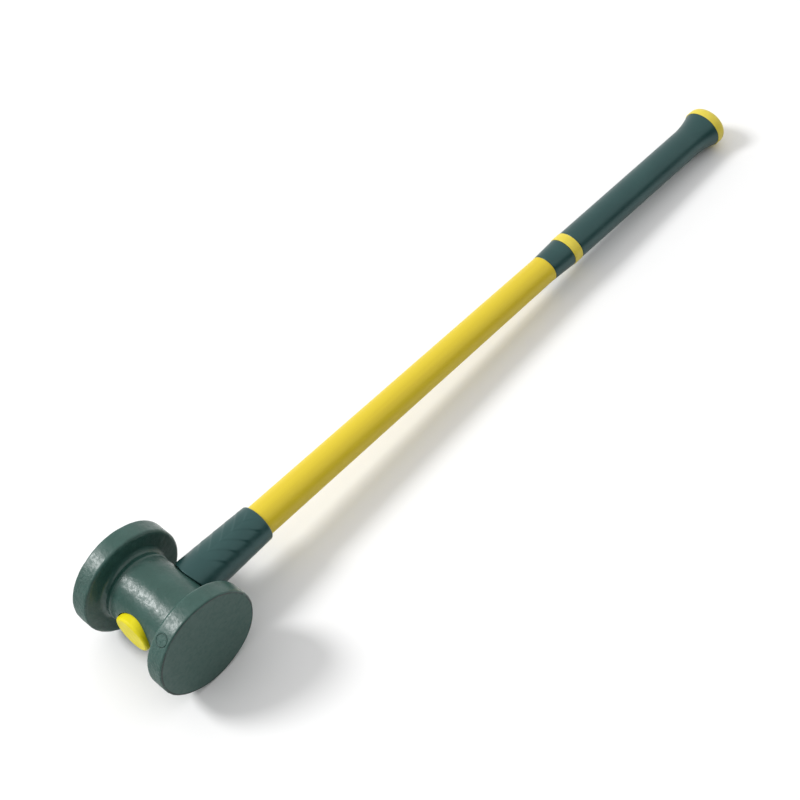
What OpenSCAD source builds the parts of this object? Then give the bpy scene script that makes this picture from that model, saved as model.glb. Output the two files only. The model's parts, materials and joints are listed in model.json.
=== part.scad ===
// Fencing maul with a cast spool head and a fibreglass-cored handle.
//
// Every piece is shaped in the tool's own frame: the origin is the middle of the
// head, +X runs along the handle to the butt and Y is the head's striking axis.
// The rest() module then lays the tool down, with both head discs and the butt
// cap touching the plane z = 0 and the middle of its box over the origin.

/* [Head] */
// Diameter of each striking disc
disc_d = 120; // [115:1:130]
// Length of the head from one striking face to the other
head_len = 132.3; // [130:0.1:145]
// Thickness of each striking disc at its rim
disc_t = 22.1; // [20:0.1:24]
// Rounding between a striking face and its rim
face_round = 2.4; // [1:0.2:6]
// Rounding between a rim and the inner side of its disc
back_round = 4; // [2:0.5:10]
// Radius of the barrel around the eye
barrel_r = 38.7; // [37:0.1:39]
// Radius of the barrel where it meets a disc
neck_r = 37.6; // [35:0.1:38.4]
// Fillet between the neck and the inner side of a disc
neck_fillet = 5; // [3:0.5:7]
// Half length of the barrel's full-radius stretch
barrel_flat = 34; // [16:1:36]

/* [Eye] */
// Half width of the eye at its mouth on the handle side
eye_top_a = 20.8; // [20:0.2:21.6]
// Half width of the eye at its far mouth, where the plug sits
eye_end_a = 22.8; // [22:0.2:23.6]
// Distance from the head's middle to the plug's outer face
plug_end = 42.1; // [41:0.1:45]
// Distance from the head's middle to the plug's inner face
plug_seat = 26; // [22:1:30]
// Gap between the plug's visible end and the eye wall
plug_gap = 0.4; // [0.2:0.1:0.8]
// Rounding of the plug's outer edge
plug_round = 2; // [1:0.5:3]

/* [Handle] */
// Height of a handle section divided by its width
oval = 0.87; // [0.82:0.01:0.94]
// Diameter of the fibreglass core rod
core_d = 22; // [18:1:24]
// Distance from the head's middle to the rod's end in the plug
core_start = 33; // [30:1:36]
// Half width of the jacket inside the eye
tenon_a = 17; // [16:0.2:18]
// Half width of the bare shaft at the head end
shaft_head_a = 18.9; // [18:0.1:19.2]
// Half width of the bare shaft at the grip end
shaft_grip_a = 16.6; // [16.2:0.1:16.8]
// Half width of the jacket under the grip
grip_bore_a = 15.2; // [14.8:0.2:15.8]

/* [Overstrike sleeve] */
// Station of the shoulder where the shaft steps down to the jacket's tenon
sleeve_start = 39.1; // [38.9:0.1:42]
// Gap between the barrel and the sleeve's cradled end
sleeve_gap = 0.8; // [0.4:0.1:2]
// Station of the sleeve's rounded end on the shaft
sleeve_end = 129.9; // [110:0.1:150]
// Half width of the sleeve at its cradled end
sleeve_head_a = 25; // [23:0.2:26]
// Half width of the sleeve at its rounded end
sleeve_end_a = 21.9; // [21:0.1:22.4]
// Rounding of the sleeve's end on the shaft
sleeve_round = 2.4; // [1:0.2:2.6]
// Station where the sleeve's spigot ends inside the eye
spigot_start = 22; // [16:1:28]

/* [Grip] */
// Station where the front collar begins
collar_start = 572.2; // [560:0.1:590]
// Station where the band begins
band_start = 603.2; // [596:0.1:610]
// Station where the main grip begins
grip_start = 615.9; // [610:0.1:626]
// Station where the grip meets the butt cap
cap_start = 854.9; // [840:0.1:858]
// Station of the butt cap's end face
butt_end = 872.7; // [868:0.1:880]
// Half width of the collar at its front edge
collar_a = 16.9; // [16.8:0.1:17.6]
// Half width of the collar beside the band
collar_back_a = 18.5; // [17.6:0.1:18.6]
// Half width of the band
band_a = 19; // [18.6:0.1:19.4]
// Half width of the main grip
grip_a = 18.6; // [18:0.1:19.4]
// Half width of the knob at the end of the grip
knob_a = 24; // [22.4:0.1:24.2]
// Length over which the grip flares out into the knob
flare_len = 32; // [24:1:60]
// Half width of the butt cap at its widest ring
cap_a = 24.7; // [24.5:0.1:25.4]
// Rounding between the butt cap's rim and its end face
cap_round = 9; // [6:0.5:12]
// Height of the cap's crown above the end of its rounding
cap_crown = 2.4; // [1:0.2:4]
// Station where the rod ends inside the butt cap
core_end = 864; // [858:1:867]

/* [Hidden] */
$fn = 96;

CAST_GREEN = [0.20, 0.27, 0.27];
RUBBER_GREEN = [0.25, 0.32, 0.32];
YELLOW = [0.86, 0.76, 0.22];
RESIN = [0.72, 0.60, 0.36];
GLASS_ROD = [0.90, 0.88, 0.78];

ARC_STEPS = 10;                // straight steps in a quarter-turn rounding
EASE_STEPS = 12;               // straight steps in a smooth change of width
SMALL_ROUND = 1;               // rounding of the band's and collar's edges
NECK_LEN = 2;                  // length of the plain neck beside each fillet
THROUGH = 6;                   // overshoot of a cutter past the surface that it opens

disc_r = disc_d / 2;
half_len = head_len / 2;
disc_inner = half_len - disc_t;
rim_ring = butt_end - cap_round - cap_crown;   // station where the cap's rounding begins

// The eye's half width is a straight taper between its two mouths.
function eye_a(x) = eye_end_a + (eye_top_a - eye_end_a) * (x + barrel_r) / (2 * barrel_r);

// Bare shaft's half width, a straight taper from the sleeve to the collar.
function shaft_a(x) = shaft_head_a
    + (shaft_grip_a - shaft_head_a) * (x - sleeve_start) / (collar_start - sleeve_start);

// Points of a rounding about a centre, from one angle to another.
function arc(centre, radius, from, to, steps = ARC_STEPS) =
    [for (i = [0 : steps]) let (a = from + (to - from) * i / steps)
        centre + radius * [cos(a), sin(a)]];

// Points that flare from width a0 at x0 to a1 at x1, slowly at first, then ever faster.
function flare(x0, a0, x1, a1, steps = EASE_STEPS) =
    [for (i = [0 : steps]) let (t = i / steps) [a0 + (a1 - a0) * t * t, x0 + (x1 - x0) * t]];

// Points that change width from a0 at x0 to a1 at x1, level at both ends.
function ease(x0, a0, x1, a1, steps = EASE_STEPS) =
    [for (i = [0 : steps]) let (t = i / steps)
        [a0 + (a1 - a0) * (1 - cos(180 * t)) / 2, x0 + (x1 - x0) * t]];

function mirrored(points) = [for (i = [len(points) - 1 : -1 : 0]) [points[i].x, -points[i].y]];

// Outline of half of the head, as [radius, distance from the head's middle].
half_outline = concat(
    [[0, half_len]],
    arc([disc_r - face_round, half_len - face_round], face_round, 90, 0),
    arc([disc_r - back_round, disc_inner + back_round], back_round, 0, -90),
    arc([neck_r + neck_fillet, disc_inner - neck_fillet], neck_fillet, 90, 180),
    ease(disc_inner - neck_fillet - NECK_LEN, neck_r, barrel_flat, barrel_r));

// Outline of the butt cap, as [half width, station].
cap_outline = concat(
    [[0, cap_start], [knob_a, cap_start]],
    arc([cap_a - SMALL_ROUND, cap_start + SMALL_ROUND], SMALL_ROUND, -60, 0, 4),
    arc([cap_a - cap_round, rim_ring], cap_round, 0, 78),
    [[0, butt_end]]);

// The tool leans on its discs and on the cap's widest ring, at station rim_ring.
rim_height = oval * cap_a;
tilt = asin(disc_r / norm([rim_ring, rim_height])) - atan2(rim_height, rim_ring);
reach = max([for (p = cap_outline) p.y * cos(tilt) + oval * p.x * sin(tilt)]);

// Lays the tool down: see the note at the top of the file.
module rest() {
    translate([(disc_r - reach) / 2, 0, disc_r])
        rotate([0, tilt, 0])
            children();
}

// Turns a handle outline of [half width, station] points into an oval solid along +X.
// It is swept in four quarters, which keeps every oval face short and exact.
module handle_solid(points) {
    rotate([0, 90, 0])
        for (turn = [0 : 90 : 270])
            scale([oval, 1, 1])
                rotate([0, 0, turn])
                    rotate_extrude(angle = 90)
                        polygon(points);
}

// A tapered oval bar from station x0 to x1.
module oval_bar(x0, a0, x1, a1) {
    handle_solid([[0, x0], [a0, x0], [a1, x1], [0, x1]]);
}

module round_bar(x0, x1, d) {
    translate([x0, 0, 0])
        rotate([0, 90, 0])
            cylinder(d = d, h = x1 - x0);
}

// Solid out to the eye wall between two stations.
module eye_fill(x0, x1) {
    oval_bar(x0, eye_a(x0), x1, eye_a(x1));
}

// Cast-iron head: two thick striking discs joined by a barrel with a tapered oval eye.
module head() {
    color(CAST_GREEN)
        rest()
            difference() {
                rotate([90, 0, 0])
                    rotate_extrude()
                        polygon(concat(half_outline, mirrored(half_outline)));
                eye_fill(-barrel_r - THROUGH, barrel_r + THROUGH);
            }
}

// Resin that fills the eye around the jacket's tenon.
module eye_bond() {
    color(RESIN)
        rest()
            difference() {
                eye_fill(-plug_seat, spigot_start);
                oval_bar(-plug_seat - THROUGH, tenon_a, spigot_start + THROUGH, tenon_a);
            }
}

// Moulded plug that closes the eye's far mouth and caps the rod.
module eye_plug() {
    a = eye_a(-plug_end) - plug_gap;
    color(YELLOW)
        rest()
            difference() {
                handle_solid(concat(
                    [[0, -plug_end]],
                    arc([a - plug_round, plug_round - plug_end], plug_round, -90, 0),
                    [[eye_a(-plug_seat) - plug_gap, -plug_seat], [0, -plug_seat]]));
                round_bar(-core_start, THROUGH - plug_seat, core_d);
            }
}

// Solid fibreglass rod, from inside the plug to inside the butt cap.
module core_rod() {
    color(GLASS_ROD)
        rest()
            round_bar(-core_start, core_end, core_d);
}

// Moulded jacket over the rod: tenon in the eye, bare shaft, then the seat of the grip.
module jacket() {
    color(YELLOW)
        rest()
            difference() {
                handle_solid([
                    [0, -plug_seat], [tenon_a, -plug_seat],
                    [tenon_a, sleeve_start], [shaft_head_a, sleeve_start],
                    [shaft_grip_a, collar_start], [grip_bore_a, collar_start],
                    [grip_bore_a, cap_start], [0, cap_start]]);
                round_bar(-plug_seat - THROUGH, cap_start + THROUGH, core_d);
            }
}

// Outside of the sleeve, with its end cradled to the round of the barrel.
module sleeve_body() {
    difference() {
        handle_solid(concat(
            [[0, spigot_start], [sleeve_head_a, spigot_start], [sleeve_head_a, sleeve_start]],
            arc([sleeve_end_a - sleeve_round, sleeve_end - sleeve_round], sleeve_round, 0, 90),
            [[0, sleeve_end]]));
        rotate([90, 0, 0])
            cylinder(r = barrel_r + sleeve_gap, h = head_len, center = true);
    }
}

// Rubber guard on the shaft beside the head, with a spigot that seals the eye's mouth.
module overstrike_sleeve() {
    color(RUBBER_GREEN)
        rest()
            difference() {
                union() {
                    sleeve_body();
                    eye_fill(spigot_start, sleeve_start + sleeve_gap);
                }
                handle_solid([
                    [0, spigot_start - THROUGH], [tenon_a, spigot_start - THROUGH],
                    [tenon_a, sleeve_start], [shaft_head_a, sleeve_start],
                    [shaft_a(sleeve_end + THROUGH), sleeve_end + THROUGH], [0, sleeve_end + THROUGH]]);
            }
}

// Cuts the seat of the grip pieces out of a handle outline.
module on_grip_seat(x0, x1) {
    difference() {
        children();
        oval_bar(x0 - THROUGH, grip_bore_a, x1 + THROUGH, grip_bore_a);
    }
}

// Short rubber collar in front of the band.
module grip_collar() {
    color(RUBBER_GREEN)
        rest()
            on_grip_seat(collar_start, band_start)
                handle_solid(concat(
                    [[0, collar_start]],
                    arc([collar_a - SMALL_ROUND, collar_start + SMALL_ROUND], SMALL_ROUND, -90, 0, 4),
                    [[collar_back_a, band_start], [0, band_start]]));
}

// Moulded ring between the collar and the main grip.
module grip_band() {
    color(YELLOW)
        rest()
            on_grip_seat(band_start, grip_start)
                handle_solid(concat(
                    [[0, band_start]],
                    arc([band_a - SMALL_ROUND, band_start + SMALL_ROUND], SMALL_ROUND, -90, 0, 4),
                    arc([band_a - SMALL_ROUND, grip_start - SMALL_ROUND], SMALL_ROUND, 0, 90, 4),
                    [[0, grip_start]]));
}

// Rubber grip that flares into a knob at the butt.
module grip() {
    color(RUBBER_GREEN)
        rest()
            on_grip_seat(grip_start, cap_start)
                handle_solid(concat(
                    [[0, grip_start], [grip_a, grip_start]],
                    flare(cap_start - flare_len, grip_a, cap_start, knob_a),
                    [[0, cap_start]]));
}

// Moulded cap on the butt, bored for the end of the rod.
module butt_cap() {
    color(YELLOW)
        rest()
            difference() {
                handle_solid(cap_outline);
                round_bar(cap_start - THROUGH, core_end, core_d);
            }
}

head();
eye_bond();
eye_plug();
core_rod();
jacket();
overstrike_sleeve();
grip_collar();
grip_band();
grip();
butt_cap();
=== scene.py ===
"""Looks of a fencing maul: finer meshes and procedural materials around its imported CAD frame.

Every shown piece is built in the tool's own frame, as in the CAD: the origin is the middle of
the head, +X runs along the handle to the butt and Y is the head's striking axis. A "station"
is a distance along +X. Lengths are in metres, and angles in degrees where they have a name.
"""

import json
import math

import bmesh
import bpy
from mathutils import Matrix, Vector


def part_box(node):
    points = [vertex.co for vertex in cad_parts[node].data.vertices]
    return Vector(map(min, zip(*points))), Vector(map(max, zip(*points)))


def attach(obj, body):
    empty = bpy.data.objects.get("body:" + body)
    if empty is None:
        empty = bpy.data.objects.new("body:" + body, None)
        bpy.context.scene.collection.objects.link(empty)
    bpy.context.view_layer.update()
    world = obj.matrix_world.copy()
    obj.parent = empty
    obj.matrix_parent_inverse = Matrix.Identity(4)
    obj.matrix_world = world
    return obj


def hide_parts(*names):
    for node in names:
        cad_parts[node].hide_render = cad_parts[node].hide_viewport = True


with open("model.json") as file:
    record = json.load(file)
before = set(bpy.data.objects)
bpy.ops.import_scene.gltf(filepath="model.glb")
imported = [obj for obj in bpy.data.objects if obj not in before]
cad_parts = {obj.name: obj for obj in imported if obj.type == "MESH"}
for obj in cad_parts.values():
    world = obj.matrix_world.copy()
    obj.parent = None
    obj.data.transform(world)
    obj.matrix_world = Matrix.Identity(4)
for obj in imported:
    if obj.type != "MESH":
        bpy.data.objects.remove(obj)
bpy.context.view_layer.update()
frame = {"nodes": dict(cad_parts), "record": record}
MM = 0.001

# ---------------------------------------------------------------- sizes shared with the CAD

OVAL = 0.87                  # height of a handle section divided by its width
SQUARENESS = 2.04            # 2 is an ellipse; more gives flatter sides and tighter corners
DISC_T = 22.1 * MM
FACE_ROUND = 2.4 * MM
BACK_ROUND = 4 * MM
BARREL_R = 38.7 * MM
NECK_R = 37.6 * MM
NECK_FILLET = 5 * MM
NECK_LEN = 2 * MM
BARREL_FLAT = 34 * MM
EYE_TOP_A = 20.8 * MM
EYE_END_A = 22.8 * MM
PLUG_GAP = 0.4 * MM
PLUG_ROUND = 3 * MM
CORE_D = 22 * MM
TENON_A = 17 * MM
SHAFT_HEAD_A = 18.9 * MM
SHAFT_GRIP_A = 16.6 * MM
GRIP_BORE_A = 15.2 * MM
SLEEVE_GAP = 0.8 * MM
SLEEVE_END_A = 21.9 * MM
SLEEVE_ROUND = 2.4 * MM
COLLAR_A = 16.9 * MM
COLLAR_BACK_A = 18.5 * MM
GRIP_A = 18.6 * MM
FLARE_LEN = 32 * MM
CAP_ROUND = 9 * MM
CAP_CROWN = 2.4 * MM
EDGE_ROUND = 1 * MM

# ---------------------------------------------------------------- the tool's frame

mounts = {mount["name"]: mount for mount in frame["record"]["mounts"]}
faces_at = [Vector(mounts[name]["pos_m"]) for name in ("striking_face_a", "striking_face_b")]
HEAD_MIDDLE = (faces_at[0] + faces_at[1]) / 2
HALF_LEN = (faces_at[1] - faces_at[0]).length / 2
ALONG = Vector(mounts["shaft_rest"]["axis"]).normalized()
ACROSS = Vector((0, 1, 0))
UPWARD = ALONG.cross(ACROSS)
TOOL = Matrix.Translation(HEAD_MIDDLE) @ Matrix((ALONG, ACROSS, UPWARD)).transposed().to_4x4()


def span(node):
    """First and last station of a CAD node."""
    stations = [(v.co - HEAD_MIDDLE).dot(ALONG) for v in frame["nodes"][node].data.vertices]
    return min(stations), max(stations)


def half_width(node):
    """Half of a CAD node's width, which is its extent along Y."""
    low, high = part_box(node)
    return (high.y - low.y) / 2


PLUG_END, PLUG_SEAT = span("eye_plug")
SPIGOT_START, SLEEVE_END = span("overstrike_sleeve")
SHOULDER = BARREL_R + PLUG_GAP
COLLAR_START, BAND_START = span("grip_collar")
GRIP_START, CAP_START = span("grip")
BUTT_END = span("butt_cap")[1]
DISC_R = (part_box("head")[1].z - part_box("head")[0].z) / 2
DISC_INNER = HALF_LEN - DISC_T
SLEEVE_HEAD_A = half_width("overstrike_sleeve")
BAND_A = half_width("grip_band")
KNOB_A = half_width("grip")
CAP_A = half_width("butt_cap")

# ---------------------------------------------------------------- outlines and meshes

TINY = 1e-6                  # metres, or share of a step, that count as none
ARC_STEPS = 6
SMALL_ARC_STEPS = 3
LARGE_ARC_STEPS = 8
LATHE_COLUMNS = 96
LATHE_STEP = 2 * MM


def arc(centre, radius, start, end, steps=ARC_STEPS):
    """Points of a rounding about a centre, from one angle to another."""
    angles = [math.radians(start + (end - start) * i / steps) for i in range(steps + 1)]
    return [(centre[0] + radius * math.cos(a), centre[1] + radius * math.sin(a)) for a in angles]


def ease(t):
    """0 to 1, level at both ends."""
    return (1 - math.cos(math.pi * min(max(t, 0), 1))) / 2


def between(a, b, step):
    """Points after a, up to and with b, no further apart than step."""
    count = max(1, math.ceil(math.dist(a, b) / step - TINY))
    return [tuple(p + (q - p) * i / count for p, q in zip(a, b)) for i in range(1, count + 1)]


def refined(outline, step):
    """The same outline with its long straight stretches cut into short ones."""
    points = [outline[0]]
    for point in outline[1:]:
        if math.dist(points[-1], point) > TINY:
            points += between(points[-1], point, step)
    return points


def section_point(station, a, turn, squareness):
    """Point of an oval section of half width a. turn 0 faces +Y, and a quarter turn faces up."""
    power = 2 / squareness
    y, z = (math.copysign(abs(c) ** power, c) for c in (math.cos(turn), math.sin(turn)))
    return (station, a * y, OVAL * a * z)


class Shell:
    """Points and faces of a mesh that is being put together."""

    def __init__(self):
        self.points = []
        self.faces = []

    def put(self, point):
        """Adds a point and returns its number."""
        self.points.append(point)
        return len(self.points) - 1

    def join(self, ring, other):
        """Adds the faces between two closed rings of as many points."""
        for i, corner in enumerate(ring):
            j = (i + 1) % len(ring)
            self.faces.append((corner, ring[j], other[j], other[i]))

    def fan(self, ring, centre):
        """Closes a ring with faces that meet in one point."""
        middle = self.put(centre)
        for i, corner in enumerate(ring):
            self.faces.append((corner, ring[(i + 1) % len(ring)], middle))


def add_piece(name, shell, node, material, subdivisions=0):
    """A smooth piece, from a shell in the tool's frame, that stands for a CAD node."""
    mesh = bpy.data.meshes.new(name)
    mesh.from_pydata([TOOL @ Vector(point) for point in shell.points], [], shell.faces)
    clean = bmesh.new()
    clean.from_mesh(mesh)
    bmesh.ops.remove_doubles(clean, verts=clean.verts, dist=TINY)
    bmesh.ops.recalc_face_normals(clean, faces=clean.faces)
    clean.to_mesh(mesh)
    clean.free()
    mesh.shade_smooth()
    mesh.materials.append(material)
    piece = bpy.data.objects.new(name, mesh)
    bpy.context.scene.collection.objects.link(piece)
    if subdivisions:
        smooth = piece.modifiers.new("smooth", "SUBSURF")
        smooth.levels = smooth.render_levels = subdivisions
    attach(piece, "root")
    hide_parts(node)
    return piece


def lathe(name, outline, node, material, columns=LATHE_COLUMNS, step=LATHE_STEP,
          relief=None, slide=None, squareness=SQUARENESS, closed=False):
    """A piece whose oval sections follow an outline along the handle's axis.

    The outline lists (station, half width). A closed one makes a hollow piece, and an open one's
    ends are joined to the axis. relief(station, turn, a) is the height of a surface detail, and
    slide(point) moves a finished point.
    """
    sections = refined(outline + outline[:1] if closed else outline, step)
    if closed:
        sections = sections[:-1]
    shell = Shell()
    rings = []
    for station, a in sections:
        ring = []
        for column in range(columns):
            turn = 2 * math.pi * column / columns
            lift = relief(station, turn, a) if relief else 0
            point = section_point(station, a + lift, turn, squareness)
            ring.append(shell.put(slide(point) if slide else point))
        rings.append(ring)
    for ring, other in zip(rings, rings[1:] + rings[:1] if closed else rings[1:]):
        shell.join(ring, other)
    if not closed:
        for end in (0, -1):
            shell.fan(rings[end], (sections[end][0], 0, 0))
    add_piece(name, shell, node, material)


# ---------------------------------------------------------------- shader nodes

NOISE_ROUGHNESS = 0.55
PATCHES = (0.4, 0.7)         # noise values between which a layer usually fades in


def add_node(tree, kind, sockets=None, **settings):
    """Adds a shader node. A socket takes a value or another node's output."""
    made = tree.nodes.new(kind)
    for key, value in settings.items():
        setattr(made, key, value)
    for key, value in (sockets or {}).items():
        if isinstance(value, bpy.types.NodeSocket):
            tree.links.new(value, made.inputs[key])
        else:
            made.inputs[key].default_value = value
    return made


def map_range(tree, value, low, high, to_low=0.0, to_high=1.0):
    """Eases a value from one range into another, and holds it at that range's ends."""
    sockets = {"Value": value, "From Min": low, "From Max": high, "To Min": to_low,
               "To Max": to_high}
    made = add_node(tree, "ShaderNodeMapRange", sockets, interpolation_type="SMOOTHSTEP")
    return made.outputs[0]


class Surface:
    """A Principled material that its layers of colour, roughness and relief are added to."""

    def __init__(self, name, colour, roughness, **constants):
        self.material = bpy.data.materials.new(name)
        self.material.use_nodes = True
        self.tree = self.material.node_tree
        self.shader = self.tree.nodes["Principled BSDF"]
        for socket, value in constants.items():
            self.shader.inputs[socket.replace("_", " ")].default_value = value
        sockets = {"Vector": add_node(self.tree, "ShaderNodeTexCoord").outputs["Object"],
                   "Location": HEAD_MIDDLE, "Rotation": TOOL.to_euler()}
        self.place = add_node(self.tree, "ShaderNodeMapping", sockets,
                              vector_type="TEXTURE").outputs[0]
        self.colour = (*colour, 1)
        self.roughness = roughness
        self.normal = None

    def noise(self, size, detail=3, place=None):
        """Noise from 0 to 1 whose lumps are about size metres across."""
        sockets = {"Vector": place or self.place, "Scale": 1 / size, "Detail": detail,
                   "Roughness": NOISE_ROUGHNESS}
        return add_node(self.tree, "ShaderNodeTexNoise", sockets).outputs["Fac"]

    def streaks(self, per_metre, detail):
        """Noise in long cells, with so many per metre along each of the tool's axes."""
        sockets = {"Vector": self.place, "Scale": per_metre}
        return self.noise(1, detail, add_node(self.tree, "ShaderNodeMapping", sockets).outputs[0])

    def mapped(self, value, low, high, to_low=0.0, to_high=1.0):
        """The same as map_range, in this material."""
        return map_range(self.tree, value, low, high, to_low, to_high)

    def patches(self, size, detail=3, fade=PATCHES):
        """Soft patches of 1 among 0, where the noise is above the range of values in fade."""
        return self.mapped(self.noise(size, detail), *fade)

    def combined(self, operation, first, second=0.0):
        """Output of a math node on one or two values."""
        made = add_node(self.tree, "ShaderNodeMath", {0: first, 1: second}, operation=operation)
        return made.outputs[0]

    def tint(self, colour, factor):
        """Mixes a colour in by a factor from 0 to 1."""
        sockets = {"Factor": factor, "A": self.colour, "B": (*colour, 1)}
        mix = add_node(self.tree, "ShaderNodeMix", data_type="RGBA")
        for key, value in sockets.items():
            socket = next(s for s in mix.inputs if s.name == key and s.enabled)
            if isinstance(value, bpy.types.NodeSocket):
                self.tree.links.new(value, socket)
            else:
                socket.default_value = value
        self.colour = next(s for s in mix.outputs if s.enabled)

    def roughen(self, amount, factor):
        """Adds amount to the roughness, by a factor from 0 to 1."""
        self.roughness = self.combined("ADD", self.combined("MULTIPLY", factor, amount),
                                       self.roughness)

    def bump(self, height, depth, strength=1.0):
        """Lays a relief of the given depth in metres over the ones before."""
        sockets = {"Height": height, "Distance": depth, "Strength": strength}
        if self.normal:
            sockets["Normal"] = self.normal
        self.normal = add_node(self.tree, "ShaderNodeBump", sockets).outputs[0]

    def finish(self):
        """Wires the layers to the shader and returns the material."""
        for socket, value in (("Base Color", self.colour), ("Roughness", self.roughness)):
            if isinstance(value, bpy.types.NodeSocket):
                self.tree.links.new(value, self.shader.inputs[socket])
            else:
                self.shader.inputs[socket].default_value = value
        if self.normal:
            self.tree.links.new(self.normal, self.shader.inputs["Normal"])
        return self.material


# ---------------------------------------------------------------- materials

IRON_GREEN = (0.019, 0.066, 0.053)
IRON_GREEN_PALE = (0.026, 0.080, 0.066)
IRON_GREEN_DEEP = (0.012, 0.040, 0.034)
FACE_GREEN = (0.034, 0.086, 0.072)
EDGE_DARK = (0.006, 0.016, 0.015)
RUBBER_GREEN = (0.007, 0.036, 0.035)
RUBBER_GREEN_PALE = (0.010, 0.043, 0.041)
RUBBER_SHEEN = (0.7, 1, 1, 1)        # tint of its reflections
JACKET_YELLOW = (0.62, 0.475, 0.009)
JACKET_YELLOW_DEEP = (0.59, 0.435, 0.008)
MOULDING_YELLOW = (0.64, 0.52, 0.04)
PLUG_YELLOW = (0.67, 0.59, 0.004)
RESIN_AMBER = (0.40, 0.25, 0.07)
RESIN_AMBER_DEEP = (0.32, 0.18, 0.04)
GLASS_STRAW = (0.70, 0.66, 0.50)
GLASS_STRAW_DEEP = (0.58, 0.53, 0.38)
FLOOR_WHITE = (0.85, 0.85, 0.85)
PALER = (1.06, 0.01)                 # gain and lift that make a moulding's paler patches

FACE_COVER = 0.9                     # share of a striking face's own look in its paint
EDGE_COVER = 0.85                    # share of the dark colour in the broken line along its edge
JACKET_STREAKS = (6, 300, 300)       # streaks per metre along, across and up
ROVING_STREAKS = (20, 900, 900)
FACE_DEPTH = (3 * MM, 2.4 * MM)      # below a face's plane, where its paint's look comes in
FACE_FADE = 0.8 * MM                 # width of the border of that look
EDGE_LINE = (0.4 * MM, 1.1 * MM)     # half widths of a face's dark edge, full and faded out
RIM_DEPTH = (3 * MM, 1 * MM)         # below a rim's top, where its rougher cast comes in
RIM_BACK = (-20 * MM, -45 * MM)      # stations between which it comes in
MARK_TURN = 131                      # of the casting ring, from the handle towards the top
MARK_RADIUS = 6.5 * MM
MARK_LINE = 1.1 * MM                 # half width of the ring's raised line


def head_masks(surface):
    """0 to 1 on the striking faces, on the broken dark lines around them, and on the rough rims."""
    x, y, z = add_node(surface.tree, "ShaderNodeSeparateXYZ", {0: surface.place}).outputs
    depth = surface.combined("ABSOLUTE", y)
    squares = surface.combined("ADD", surface.combined("POWER", x, 2.0),
                               surface.combined("POWER", z, 2.0))
    radius = surface.combined("SQRT", squares)
    face_r = DISC_R - FACE_ROUND
    at_end = surface.mapped(depth, *(HALF_LEN - below for below in FACE_DEPTH))
    on_face = surface.combined("MULTIPLY", at_end, surface.mapped(radius, face_r, face_r - FACE_FADE))
    off_edge = surface.combined("ABSOLUTE", surface.combined("SUBTRACT", radius, face_r))
    edge = surface.combined("MULTIPLY", at_end, surface.mapped(off_edge, *EDGE_LINE, 1, 0))
    # a dark line along each face's edge, broken into patches
    dark_line = surface.combined("MULTIPLY", edge, surface.patches(14 * MM, fade=(0.36, 0.52)))
    on_rim = surface.mapped(radius, *(DISC_R - below for below in RIM_DEPTH))
    rough_rim = surface.combined("MULTIPLY", on_rim, surface.mapped(x, *RIM_BACK))
    return on_face, dark_line, rough_rim


def casting_ring(surface):
    """Height of the plain raised ring that the mould leaves on one disc's rim."""
    turn = math.radians(MARK_TURN)
    middle = (DISC_R * math.cos(turn), -(DISC_INNER + DISC_T / 2), DISC_R * math.sin(turn))
    away = add_node(surface.tree, "ShaderNodeVectorMath", {0: surface.place, 1: middle},
                    operation="DISTANCE").outputs["Value"]
    off_line = surface.combined("ABSOLUTE", surface.combined("SUBTRACT", away, MARK_RADIUS))
    return surface.mapped(off_line, 0, MARK_LINE, 1, 0)


def painted_iron():
    """Green enamel over a sand casting: lumpy, duller on the struck faces, dark at their edges."""
    surface = Surface("painted_iron", IRON_GREEN, roughness=0.3)
    on_face, dark_line, rough_rim = head_masks(surface)
    surface.tint(IRON_GREEN_PALE, surface.patches(30 * MM, fade=(0.35, 0.65)))
    surface.tint(IRON_GREEN_DEEP, surface.patches(2.5 * MM, detail=5, fade=(0.6, 0.78)))
    mostly_face = surface.combined("MULTIPLY", on_face, FACE_COVER)
    surface.tint(FACE_GREEN, mostly_face)
    # the broken dark line along each face's edge
    surface.tint(EDGE_DARK, surface.combined("MULTIPLY", dark_line, EDGE_COVER))
    surface.roughen(0.2, on_face)
    surface.roughen(0.14, surface.patches(4 * MM, detail=4))
    surface.roughen(0.2, rough_rim)
    lumps = surface.combined("ADD", surface.noise(7 * MM, detail=2), surface.noise(2.2 * MM, detail=4))
    off_face = surface.combined("SUBTRACT", 1.0, mostly_face)
    surface.bump(surface.combined("MULTIPLY", lumps, off_face), depth=0.2 * MM, strength=0.8)
    rim_lumps = surface.combined("MULTIPLY", rough_rim, surface.noise(3 * MM, detail=4))
    surface.bump(rim_lumps, depth=1.1 * MM)
    surface.bump(casting_ring(surface), depth=1 * MM)
    return surface.finish()


def green_rubber():
    """Moulded rubber with the fine grain of its mould."""
    surface = Surface("green_rubber", RUBBER_GREEN, roughness=0.34, Specular_IOR_Level=0.65,
                      Specular_Tint=RUBBER_SHEEN)
    surface.tint(RUBBER_GREEN_PALE, surface.patches(40 * MM, fade=(0.4, 0.65)))
    surface.roughen(0.08, surface.patches(6 * MM, detail=4))
    surface.bump(surface.noise(0.6 * MM), depth=0.03 * MM, strength=0.6)
    return surface.finish()


def yellow_jacket():
    """Yellow plastic over glass rovings, which show as faint lengthwise streaks."""
    surface = Surface("yellow_jacket", JACKET_YELLOW, roughness=0.42)
    streaks = surface.streaks(JACKET_STREAKS, detail=3)
    surface.tint(JACKET_YELLOW_DEEP, surface.mapped(streaks, 0.4, 0.75, 0, 0.6))
    surface.roughen(0.08, surface.patches(12 * MM, detail=4))
    surface.bump(streaks, depth=0.03 * MM, strength=0.4)
    surface.bump(surface.noise(5 * MM), depth=0.06 * MM, strength=0.5)
    return surface.finish()


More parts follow.
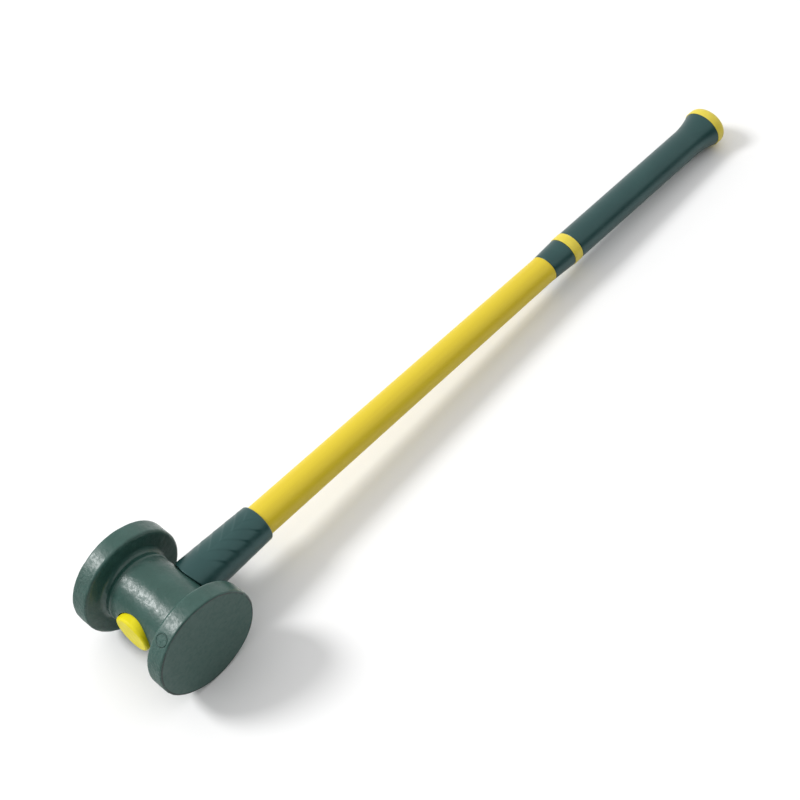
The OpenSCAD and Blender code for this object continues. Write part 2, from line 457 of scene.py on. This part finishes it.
def yellow_moulding(name, colour, **constants):
    """Smooth injection-moulded plastic."""
    surface = Surface(name, colour, roughness=0.45, **constants)
    gain, lift = PALER
    paler = tuple(c * gain + lift for c in colour)
    surface.tint(paler, surface.patches(9 * MM))
    surface.roughen(0.08, surface.patches(4 * MM))
    surface.bump(surface.noise(1.6 * MM), depth=0.05 * MM, strength=0.5)
    return surface.finish()


def epoxy_resin():
    """Cast resin with darker clouds."""
    surface = Surface("epoxy_resin", RESIN_AMBER, roughness=0.25)
    surface.tint(RESIN_AMBER_DEEP, surface.patches(5 * MM))
    return surface.finish()


def fibreglass():
    """Pultruded rod, streaked by its rovings."""
    surface = Surface("fibreglass", GLASS_STRAW, roughness=0.55)
    rovings = surface.streaks(ROVING_STREAKS, detail=4)
    surface.tint(GLASS_STRAW_DEEP, surface.mapped(rovings, *PATCHES))
    return surface.finish()


# ---------------------------------------------------------------- head

HEAD_COLUMNS = 160
HALF_TURN = HEAD_COLUMNS // 2
PATCH_COLUMNS = 18           # half the columns of the patch around the eye
PATCH_ROWS = 12              # half its rows
PATCH_REACH = 27 * MM        # half its length along the striking axis
PATCH_RINGS = 5
EYE_ROUND = 1.2 * MM         # rounding of the eye's two mouths
EYE_ROUND_STEPS = 4
MOUTH_PASSES = 4             # rounds in which a point of the mouth settles on the barrel
HEAD_STEP = 2.5 * MM
FACE_STEP = 3.5 * MM
RING_WIDTH = 5 * MM          # of the low cast ring around each neck, beside the fillet
RING_LIFT = 0.8 * MM
RING_EDGE = 0.4 * MM
RING_RUN_IN = 3              # steps of outline between the patch and the ring
WALL_STATIONS = (20 * MM, 0, -20 * MM)              # of the rings along the eye's wall
LUMPS = ((22 * MM, 0.9 * MM), (5 * MM, 0.25 * MM))  # (size, depth) of the casting's unevenness
LUMP_DETAIL = 2


def eye_a(station):
    """Half width of the eye, a straight taper between its mouths."""
    return EYE_END_A + (EYE_TOP_A - EYE_END_A) * (station + BARREL_R) / (2 * BARREL_R)


def barrel_radius(y):
    """Radius of the barrel and its necks at a distance from the head's middle."""
    neck_at = DISC_INNER - NECK_FILLET - NECK_LEN
    return BARREL_R + (NECK_R - BARREL_R) * ease((abs(y) - BARREL_FLAT) / (neck_at - BARREL_FLAT))


def head_outline():
    """(radius, distance from the head's middle) from the patch's edge to the face's centre."""
    ring_end = DISC_INNER - NECK_FILLET
    ring_start = ring_end - RING_WIDTH
    outline = []
    for i in range(RING_RUN_IN + 1):
        y = PATCH_REACH + (ring_start - PATCH_REACH) * i / RING_RUN_IN
        outline.append((barrel_radius(y), y))
    outline += [(barrel_radius(ring_start) + RING_LIFT, ring_start + RING_EDGE)]
    outline += [(NECK_R + RING_LIFT, ring_end - RING_EDGE)]
    outline += arc((NECK_R + NECK_FILLET, ring_end), NECK_FILLET, 180, 90)
    outline += arc((DISC_R - BACK_ROUND, DISC_INNER + BACK_ROUND), BACK_ROUND, -90, 0,
                   LARGE_ARC_STEPS)
    outline += arc((DISC_R - FACE_ROUND, HALF_LEN - FACE_ROUND), FACE_ROUND, 0, 90)
    outline = refined(outline, HEAD_STEP)
    return outline + refined([outline[-1], (FACE_STEP, HALF_LEN)], FACE_STEP)[1:]


def head_rows():
    """(radius, y) of each ring of the head's grid, and the row at the head's middle."""
    outer = head_outline()
    patch_ys = [PATCH_REACH * i / PATCH_ROWS for i in range(-PATCH_ROWS, PATCH_ROWS + 1)]
    rows = [(radius, -y) for radius, y in reversed(outer[1:])]
    middle_row = len(rows) + PATCH_ROWS
    return rows + [(barrel_radius(y), y) for y in patch_ys] + outer[1:], middle_row


def turned_grid(shell, rows, middle_row):
    """Adds the head without its eye patches. Returns the numbers of its points by (row, column)."""
    at = {}
    for row, (radius, y) in enumerate(rows):
        for column in range(HEAD_COLUMNS):
            lean = min(column % HALF_TURN, -column % HALF_TURN)
            if lean >= PATCH_COLUMNS or abs(row - middle_row) >= PATCH_ROWS:
                turn = 2 * math.pi * column / HEAD_COLUMNS
                at[row, column] = shell.put((radius * math.cos(turn), y, radius * math.sin(turn)))
    for row in range(len(rows) - 1):
        for column in range(HEAD_COLUMNS):
            ahead = (column + 1) % HEAD_COLUMNS
            corners = ((row, column), (row, ahead), (row + 1, ahead), (row + 1, column))
            if all(corner in at for corner in corners):
                shell.faces.append([at[corner] for corner in corners])
    for row in (0, len(rows) - 1):
        shell.fan([at[row, column] for column in range(HEAD_COLUMNS)], (0, rows[row][1], 0))
    return at


def patch_edge():
    """(columns, rows) from a patch's middle to each point around its edge, in order."""
    half = [(-PATCH_COLUMNS, i) for i in range(-PATCH_ROWS, PATCH_ROWS)]
    half += [(i, PATCH_ROWS) for i in range(-PATCH_COLUMNS, PATCH_COLUMNS)]
    return half + [(-lean, -row) for lean, row in half]


def patch_turn(lean, row):
    """Angle around the eye of a point of a patch's edge, from the top towards the far face."""
    return math.atan2(row / PATCH_ROWS, lean / PATCH_COLUMNS)


def wall_point(station, turn):
    """Point of the eye's straight wall."""
    a = eye_a(station)
    return station, a * math.sin(turn), OVAL * a * math.cos(turn)


def mouth_point(side, turn, roll):
    """Point of the eye's rounded mouth. roll goes from 0 on the barrel to a quarter turn."""
    x = BARREL_R
    for _ in range(MOUTH_PASSES):
        a = eye_a(side * x) + EYE_ROUND
        y, z = a * math.sin(turn), OVAL * a * math.cos(turn)
        x = math.sqrt(barrel_radius(y) ** 2 - z ** 2)
    x -= EYE_ROUND * (1 - math.cos(roll))
    a = eye_a(side * x) + EYE_ROUND * (1 - math.sin(roll))
    return side * x, a * math.sin(turn), OVAL * a * math.cos(turn)


def patch_point(side, lean, row, hole, share):
    """Point of the barrel at a share of the way from a patch's edge to the eye's mouth."""
    edge_turn = 2 * math.pi * lean / HEAD_COLUMNS
    turn = edge_turn + (math.atan2(hole[2], abs(hole[0])) - edge_turn) * share
    y = PATCH_REACH * row / PATCH_ROWS
    y += (hole[1] - y) * share
    radius = barrel_radius(y)
    return side * radius * math.cos(turn), y, radius * math.sin(turn)


def add_mouth(shell, at, middle_row, side):
    """Adds one side's patch and the eye's mouth in it. Returns the ring where the wall starts."""
    edge = patch_edge()
    mouth = []
    for step in range(EYE_ROUND_STEPS + 1):
        roll = math.pi / 2 * step / EYE_ROUND_STEPS
        mouth.append([mouth_point(side, patch_turn(lean, row), roll) for lean, row in edge])
    patch = []
    for i in range(1, PATCH_RINGS):
        patch.append([patch_point(side, lean, row, hole, i / PATCH_RINGS)
                      for (lean, row), hole in zip(edge, mouth[0])])
    start = 0 if side > 0 else HALF_TURN
    last = [at[middle_row + row, (start + side * lean) % HEAD_COLUMNS] for lean, row in edge]
    for points in patch + mouth:
        ring = [shell.put(point) for point in points]
        shell.join(last, ring)
        last = ring
    return last


def add_casting_lumps(piece):
    """Makes the surface uneven, only ever inwards."""
    for size, depth in LUMPS:
        lumps = bpy.data.textures.new("casting_lumps", "CLOUDS")
        lumps.noise_scale = size
        lumps.noise_depth = LUMP_DETAIL
        sag = piece.modifiers.new("casting_lumps", "DISPLACE")
        sag.texture = lumps
        sag.texture_coords = "LOCAL"
        sag.mid_level = 1
        sag.strength = depth


def build_head(material):
    """Two discs and a barrel in one turned grid, with a patch on each side around the eye."""
    rows, middle_row = head_rows()
    shell = Shell()
    at = turned_grid(shell, rows, middle_row)
    wall_start, wall_end = (add_mouth(shell, at, middle_row, side) for side in (1, -1))
    walls = [wall_start]
    for station in WALL_STATIONS:
        walls.append([shell.put(wall_point(station, patch_turn(*place))) for place in patch_edge()])
    walls.append(wall_end)
    for ring, other in zip(walls, walls[1:]):
        shell.join(ring, other)
    piece = add_piece("cast_head", shell, "head", material, subdivisions=1)
    add_casting_lumps(piece)


# ---------------------------------------------------------------- handle pieces

LIP_LEN = 3 * MM             # of the jacket's low lip in front of the collar
LIP_ROUND = 1 * MM
LIP_LIFT = 0.3 * MM
SHAFT_STEP = 8 * MM
SPIGOT_GAP = 1 * MM          # around the sleeve's spigot in the eye
SLEEVE_HEAD_ROUND = 0.6 * MM
SLEEVE_COLUMNS = 224
SLEEVE_STEP = 1 * MM
CRADLE_REACH = 30 * MM       # length of sleeve over which its cradled end fades out
FEATHER_FROM = 56 * MM
FEATHER_TO = 126 * MM
FEATHER_FADE = 8 * MM        # length over which the pattern comes in at both ends
FEATHER_PITCH = 16 * MM
FEATHER_SWEEP = 26 * MM
FEATHER_BEND = 0.8           # 1 sweeps the ribs back in straight lines; less curves them
FEATHER_SIDE = (0.7, 0.95)   # off the top, where a rib starts to fade and where it has gone
FEATHER_FRONT = 0.18         # share of a rib that rises; the rest falls
FEATHER_FALL = 1.5           # 1 falls straight; more falls fast and then slowly
FEATHER_HEIGHT = 0.75 * MM
FLARE_STEPS = 16
CAP_FRONT_ANGLE = 150        # where the rounding of the cap's front edge starts, beside the knob
CAP_CROWN_ANGLE = 12         # where the rounding of its rim ends and the crown starts


def shaft_a(station):
    """Half width of the bare shaft."""
    share = (station - SHOULDER) / (COLLAR_START - SHOULDER)
    return SHAFT_HEAD_A + (SHAFT_GRIP_A - SHAFT_HEAD_A) * share


def build_plug(material):
    """Moulded plug that stands out of the eye's far mouth."""
    a = eye_a(PLUG_END) - PLUG_GAP
    outline = [(PLUG_END, EDGE_ROUND)]
    outline += arc((PLUG_END + PLUG_ROUND, a - PLUG_ROUND), PLUG_ROUND, 180, 90)
    outline += [(PLUG_SEAT, eye_a(PLUG_SEAT) - PLUG_GAP), (PLUG_SEAT, EDGE_ROUND)]
    lathe("end_plug", outline, "eye_plug", material, squareness=2)


def build_shaft(material):
    """Hollow jacket: tenon, bare shaft and the seat of the grip's pieces."""
    rod_a = CORE_D / 2 / OVAL
    outline = [(PLUG_SEAT, rod_a), (PLUG_SEAT, TENON_A), (SHOULDER, TENON_A)]
    outline += [(SHOULDER, SHAFT_HEAD_A), (COLLAR_START - LIP_LEN, shaft_a(COLLAR_START))]
    outline += [(COLLAR_START - LIP_ROUND, SHAFT_GRIP_A + LIP_LIFT), (COLLAR_START, SHAFT_GRIP_A)]
    outline += [(COLLAR_START, GRIP_BORE_A), (CAP_START, GRIP_BORE_A), (CAP_START, rod_a)]
    lathe("handle_jacket", outline, "jacket", material, step=SHAFT_STEP, closed=True)


def cradled(point):
    """Slides the sleeve's end back so that it follows the round of the barrel."""
    station, y, z = point
    cradle = math.sqrt((BARREL_R + SLEEVE_GAP) ** 2 - z ** 2) - SHOULDER
    return station + cradle * (1 - ease((station - SHOULDER) / CRADLE_REACH)), y, z


def feathers(station, turn):
    """Low swept ribs on the sleeve's top and underside, higher at their leading edges."""
    off_middle = abs(math.sin(turn - math.pi / 2))
    sweep = station - FEATHER_SWEEP * off_middle ** FEATHER_BEND
    phase = sweep / FEATHER_PITCH % 1
    ends = ease((station - FEATHER_FROM) / FEATHER_FADE) * ease((FEATHER_TO - station) / FEATHER_FADE)
    fade_from, fade_to = FEATHER_SIDE
    sides = 1 - ease((off_middle - fade_from) / (fade_to - fade_from))
    rib = (1 - phase) ** FEATHER_FALL * ease(phase / FEATHER_FRONT)
    return FEATHER_HEIGHT * rib * ends * sides


def build_sleeve(material):
    """Rubber guard with its spigot, cradled end and feathers."""
    outline = [(station, eye_a(station) - SPIGOT_GAP) for station in (SPIGOT_START, SHOULDER)]
    outline += arc((SHOULDER + SLEEVE_HEAD_ROUND, SLEEVE_HEAD_A - SLEEVE_HEAD_ROUND),
                   SLEEVE_HEAD_ROUND, 180, 90, SMALL_ARC_STEPS)
    outline += arc((SLEEVE_END - SLEEVE_ROUND, SLEEVE_END_A - SLEEVE_ROUND), SLEEVE_ROUND, 90, 0)
    outline += [(SLEEVE_END, shaft_a(SLEEVE_END)), (SHOULDER, SHAFT_HEAD_A)]
    outline += [(SHOULDER, TENON_A), (SPIGOT_START, TENON_A)]

    def relief(station, turn, a):
        """Feathers on the outside only."""
        return feathers(station, turn) if a > SLEEVE_END_A - SLEEVE_ROUND / 4 else 0

    lathe("sleeve", outline, "overstrike_sleeve", material,
          columns=SLEEVE_COLUMNS, step=SLEEVE_STEP, relief=relief, slide=cradled, closed=True)


def build_collar(material):
    """Short rubber ring that flares towards the band."""
    outline = [(COLLAR_START, GRIP_BORE_A)]
    outline += arc((COLLAR_START + EDGE_ROUND, COLLAR_A - EDGE_ROUND), EDGE_ROUND, 180, 90,
                   SMALL_ARC_STEPS)
    outline += [(BAND_START, COLLAR_BACK_A), (BAND_START, GRIP_BORE_A)]
    lathe("collar", outline, "grip_collar", material, closed=True)


def build_band(material):
    """Plain ring between the collar and the grip."""
    outline = [(BAND_START, GRIP_BORE_A)]
    outline += arc((BAND_START + EDGE_ROUND, BAND_A - EDGE_ROUND), EDGE_ROUND, 180, 90,
                   SMALL_ARC_STEPS)
    outline += arc((GRIP_START - EDGE_ROUND, BAND_A - EDGE_ROUND), EDGE_ROUND, 90, 0,
                   SMALL_ARC_STEPS)
    outline += [(GRIP_START, GRIP_BORE_A)]
    lathe("band", outline, "grip_band", material, closed=True)


def build_grip(material):
    """Long rubber grip that flares into the knob."""
    flare_at = CAP_START - FLARE_LEN
    outline = [(GRIP_START, GRIP_BORE_A)]
    outline += arc((GRIP_START + EDGE_ROUND, GRIP_A - EDGE_ROUND), EDGE_ROUND, 180, 90,
                   SMALL_ARC_STEPS)
    for i in range(FLARE_STEPS + 1):
        share = i / FLARE_STEPS
        outline.append((flare_at + FLARE_LEN * share, GRIP_A + (KNOB_A - GRIP_A) * share ** 2))
    outline += [(CAP_START, GRIP_BORE_A)]
    lathe("grip_sleeve", outline, "grip", material, closed=True)


def build_cap(material):
    """Crowned cap on the knob."""
    rim_ring = BUTT_END - CAP_ROUND - CAP_CROWN
    outline = [(CAP_START, EDGE_ROUND), (CAP_START, KNOB_A)]
    outline += arc((CAP_START + EDGE_ROUND, CAP_A - EDGE_ROUND), EDGE_ROUND, CAP_FRONT_ANGLE, 90,
                   SMALL_ARC_STEPS)
    outline += arc((rim_ring, CAP_A - CAP_ROUND), CAP_ROUND, 90, CAP_CROWN_ANGLE, LARGE_ARC_STEPS)
    outline += [(BUTT_END, EDGE_ROUND)]
    lathe("end_cap", outline, "butt_cap", material)


# ---------------------------------------------------------------- stage, light and camera

FLOOR_SIZE = 80              # metres, so that its edge lies at the horizon in every view
AIM = Vector((-0.0692, 0.0001, 0.04))
VIEW_AZIMUTH = -37.11        # of the camera around the aim, from -Y towards +X
VIEW_ELEVATION = 51.80
VIEW_ROLL = -12.33
VIEW_DISTANCE = 1.87
LENS_MM = 79.88
SENSOR_MM = 36
KEY_DISTANCE = 4.5
KEY_SIZE = 1.3
KEY_WATTS = 132
KEY_DIRECTION = Vector((-0.43, 0.56, 0.71))
SKY_DIRECTION = Vector((0.3, 0.5, 0.81))  # middle of the bright part of the studio
SKY_EDGE = (0.05, 0.3)       # cosines from it where the brightness starts and where it is full
SKY_STRENGTH = (0.03, 1.0)   # outside and inside the bright part
BACKDROP_TOP = (0.02, 0.15)  # sines of the heights between which the low backdrop fades out
BACKDROP_STRENGTH = 0.5


def facing(direction):
    """Rotation whose +Z points along a direction, as a lamp or camera looks along -Z."""
    back = direction.normalized()
    right = Vector((0, 0, 1)).cross(back).normalized()
    return Matrix((right, back.cross(right), back)).transposed().to_4x4()


def add_camera():
    """Camera above the near face, rolled so that the handle runs up to the right."""
    azimuth, elevation = math.radians(VIEW_AZIMUTH), math.radians(VIEW_ELEVATION)
    back = Vector((math.sin(azimuth) * math.cos(elevation),
                   -math.cos(azimuth) * math.cos(elevation), math.sin(elevation)))
    lens = bpy.data.cameras.new("camera")
    lens.lens = LENS_MM
    lens.sensor_width = SENSOR_MM
    camera = bpy.data.objects.new("camera", lens)
    bpy.context.scene.collection.objects.link(camera)
    roll = Matrix.Rotation(math.radians(VIEW_ROLL), 4, "Z")
    camera.matrix_world = Matrix.Translation(AIM + back * VIEW_DISTANCE) @ facing(back) @ roll
    bpy.context.scene.camera = camera


def add_key_light():
    """One large soft lamp, high behind the head."""
    lamp = bpy.data.lights.new("key", "AREA")
    lamp.shape = "DISK"
    lamp.size = KEY_SIZE
    lamp.energy = KEY_WATTS
    light = bpy.data.objects.new("key", lamp)
    bpy.context.scene.collection.objects.link(light)
    light.matrix_world = (Matrix.Translation(AIM + KEY_DIRECTION.normalized() * KEY_DISTANCE)
                          @ facing(KEY_DIRECTION))


def add_studio():
    """A pale backdrop all around, and a white ceiling that ends before the camera's side."""
    world = bpy.data.worlds.new("studio")
    world.use_nodes = True
    tree = world.node_tree
    direction = add_node(tree, "ShaderNodeTexCoord").outputs["Generated"]
    facing_sky = add_node(tree, "ShaderNodeVectorMath", {0: direction, 1: SKY_DIRECTION},
                          operation="DOT_PRODUCT").outputs["Value"]
    sky = map_range(tree, facing_sky, *SKY_EDGE, *SKY_STRENGTH)
    height = add_node(tree, "ShaderNodeSeparateXYZ", {0: direction}).outputs["Z"]
    backdrop = map_range(tree, height, *BACKDROP_TOP, BACKDROP_STRENGTH, 0.0)
    strength = add_node(tree, "ShaderNodeMath", {0: sky, 1: backdrop}, operation="MAXIMUM").outputs[0]
    background = tree.nodes["Background"]
    background.inputs["Color"].default_value = (1, 1, 1, 1)
    tree.links.new(strength, background.inputs["Strength"])
    bpy.context.scene.world = world
    bpy.context.scene.view_settings.view_transform = "Standard"


def add_floor():
    """Plain pale floor at height 0."""
    half = FLOOR_SIZE / 2
    corners = [(-half, -half, 0), (half, -half, 0), (half, half, 0), (-half, half, 0)]
    mesh = bpy.data.meshes.new("floor")
    mesh.from_pydata(corners, [], [(0, 1, 2, 3)])
    mesh.materials.append(Surface("floor", FLOOR_WHITE, roughness=0.9).finish())
    floor = bpy.data.objects.new("floor", mesh)
    bpy.context.scene.collection.objects.link(floor)


rubber = green_rubber()
moulding = yellow_moulding("yellow_moulding", MOULDING_YELLOW)
build_head(painted_iron())
build_plug(yellow_moulding("plug_yellow", PLUG_YELLOW, Specular_IOR_Level=0.2))
build_shaft(yellow_jacket())
build_sleeve(rubber)
build_collar(rubber)
build_band(moulding)
build_grip(rubber)
build_cap(moulding)
for name, material in (("eye_bond", epoxy_resin()), ("core_rod", fibreglass())):
    frame["nodes"][name].material_slots[0].material = material

add_studio()
add_floor()
add_camera()
add_key_light()
